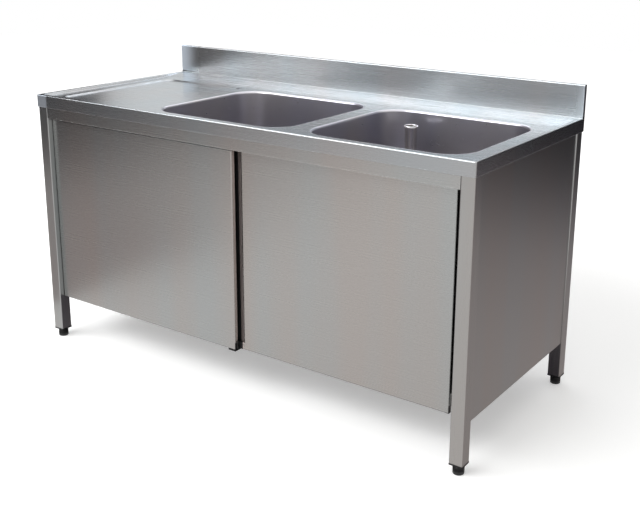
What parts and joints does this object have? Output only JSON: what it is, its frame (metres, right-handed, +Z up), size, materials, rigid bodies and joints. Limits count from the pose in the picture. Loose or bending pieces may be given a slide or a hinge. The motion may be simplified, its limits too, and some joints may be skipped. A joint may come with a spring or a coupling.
{
  "type": "kitchen sink unit",
  "caption": "Stainless steel catering sink unit with sunk drainer, pressed bowls, rear upstand and a cupboard with sliding doors below.",
  "frame": {"origin": "middle of the footprint on the floor, under the feet", "axes": "+X to the right along the length, +Y to the rear upstand, +Z up"},
  "size_m": [1.6, 0.7, 0.95],
  "materials": {
    "satin_steel": "satin brushed stainless steel, vertical grain",
    "bowl_steel": "satin pressed stainless steel",
    "bright_steel": "polished stainless steel",
    "black_rubber": "matt black rubber",
    "black_plastic": "moulded black nylon",
    "white_nylon": "natural white nylon",
    "zinc_steel": "bright zinc plated steel",
    "filling_board": "honeycomb filling board",
    "chipboard": "water resistant chipboard"
  },
  "bodies": {
    "cabinet": {"worktop": "satin_steel", "left_bowl": "bowl_steel", "right_bowl": "bowl_steel", "left_bowl_damping_pad": "black_rubber", "right_bowl_damping_pad": "black_rubber", "left_drain_flange": "bright_steel", "left_drain_gasket": "black_rubber", "left_drain_locknut": "black_plastic", "right_drain_flange": "bright_steel", "right_drain_gasket": "black_rubber", "right_drain_locknut": "black_plastic", "drainer_board": "chipboard", "leg_front_left": "satin_steel", "leg_front_right": "satin_steel", "leg_rear_left": "satin_steel", "leg_rear_right": "satin_steel", "leg_inserts": "black_plastic", "front_apron": "satin_steel", "rear_rail": "satin_steel", "worktop_screws": "zinc_steel", "track_screws": "zinc_steel", "side_panel_left": "satin_steel", "side_panel_right": "satin_steel", "rear_panel": "satin_steel", "bottom_shelf": "satin_steel", "centre_guide": "black_plastic", "guide_screws": "zinc_steel", "door_track": "zinc_steel", "track_buffers": "black_rubber"},
    "standpipe": {"standpipe": "bright_steel", "standpipe_plug": "black_rubber"},
    "strainer": {"left_strainer": "bright_steel"},
    "left_door": {"left_door_outer_skin": "satin_steel", "left_door_inner_skin": "satin_steel", "left_door_core": "filling_board", "left_door_guide_channel": "white_nylon", "left_door_corner_caps": "black_plastic", "left_door_hangers": "zinc_steel", "left_door_hanger_screws": "zinc_steel"},
    "left_door_roller_left": {"left_door_wheels_left": "white_nylon", "left_door_axle_left": "zinc_steel"},
    "left_door_roller_right": {"left_door_wheels_right": "white_nylon", "left_door_axle_right": "zinc_steel"},
    "right_door": {"right_door_outer_skin": "satin_steel", "right_door_inner_skin": "satin_steel", "right_door_core": "filling_board", "right_door_guide_channel": "white_nylon", "right_door_corner_caps": "black_plastic", "right_door_hangers": "zinc_steel", "right_door_hanger_screws": "zinc_steel", "right_door_grip_lining": "black_plastic"},
    "right_door_roller_left": {"right_door_wheels_left": "white_nylon", "right_door_axle_left": "zinc_steel"},
    "right_door_roller_right": {"right_door_wheels_right": "white_nylon", "right_door_axle_right": "zinc_steel"},
    "foot_front_left": {"foot_front_left": "black_plastic"},
    "foot_front_right": {"foot_front_right": "black_plastic"},
    "foot_rear_left": {"foot_rear_left": "black_plastic"},
    "foot_rear_right": {"foot_rear_right": "black_plastic"}
  },
  "joints": [
    {"name": "left_door_slide", "type": "slide", "parent": "cabinet", "child": "left_door", "axis": [1, 0, 0], "range_m": [0, 0.7]},
    {"name": "left_door_roller_left_spin", "type": "hinge", "parent": "left_door", "child": "left_door_roller_left", "pos_m": [-0.687, -0.32212, 0.7906], "axis": [0, 1, 0], "continuous": true},
    {"name": "left_door_roller_right_spin", "type": "hinge", "parent": "left_door", "child": "left_door_roller_right", "pos_m": [-0.056, -0.32212, 0.7906], "axis": [0, 1, 0], "continuous": true},
    {"name": "right_door_slide", "type": "slide", "parent": "cabinet", "child": "right_door", "axis": [-1, 0, 0], "range_m": [0, 0.7]},
    {"name": "right_door_roller_left_spin", "type": "hinge", "parent": "right_door", "child": "right_door_roller_left", "pos_m": [0.058, -0.30288, 0.7906], "axis": [0, -1, 0], "continuous": true},
    {"name": "right_door_roller_right_spin", "type": "hinge", "parent": "right_door", "child": "right_door_roller_right", "pos_m": [0.663, -0.30288, 0.7906], "axis": [0, -1, 0], "continuous": true},
    {"name": "standpipe_lift", "type": "slide", "parent": "cabinet", "child": "standpipe", "axis": [0, 0, 1], "range_m": [0, 0.3]},
    {"name": "strainer_lift", "type": "slide", "parent": "cabinet", "child": "strainer", "axis": [0, 0, 1], "range_m": [0, 0.35]},
    {"name": "foot_front_left_level", "type": "slide", "parent": "cabinet", "child": "foot_front_left", "axis": [0, 0, -1], "range_m": [0, 0.025]},
    {"name": "foot_front_right_level", "type": "slide", "parent": "cabinet", "child": "foot_front_right", "axis": [0, 0, -1], "range_m": [0, 0.025]},
    {"name": "foot_rear_left_level", "type": "slide", "parent": "cabinet", "child": "foot_rear_left", "axis": [0, 0, -1], "range_m": [0, 0.025]},
    {"name": "foot_rear_right_level", "type": "slide", "parent": "cabinet", "child": "foot_rear_right", "axis": [0, 0, -1], "range_m": [0, 0.025]}
  ],
  "couplings": [
    {"joint": "left_door_roller_left_spin", "follows": "left_door_slide", "rad_per_m": 100},
    {"joint": "left_door_roller_right_spin", "follows": "left_door_slide", "rad_per_m": 100},
    {"joint": "right_door_roller_left_spin", "follows": "right_door_slide", "rad_per_m": 100},
    {"joint": "right_door_roller_right_spin", "follows": "right_door_slide", "rad_per_m": 100}
  ]
}
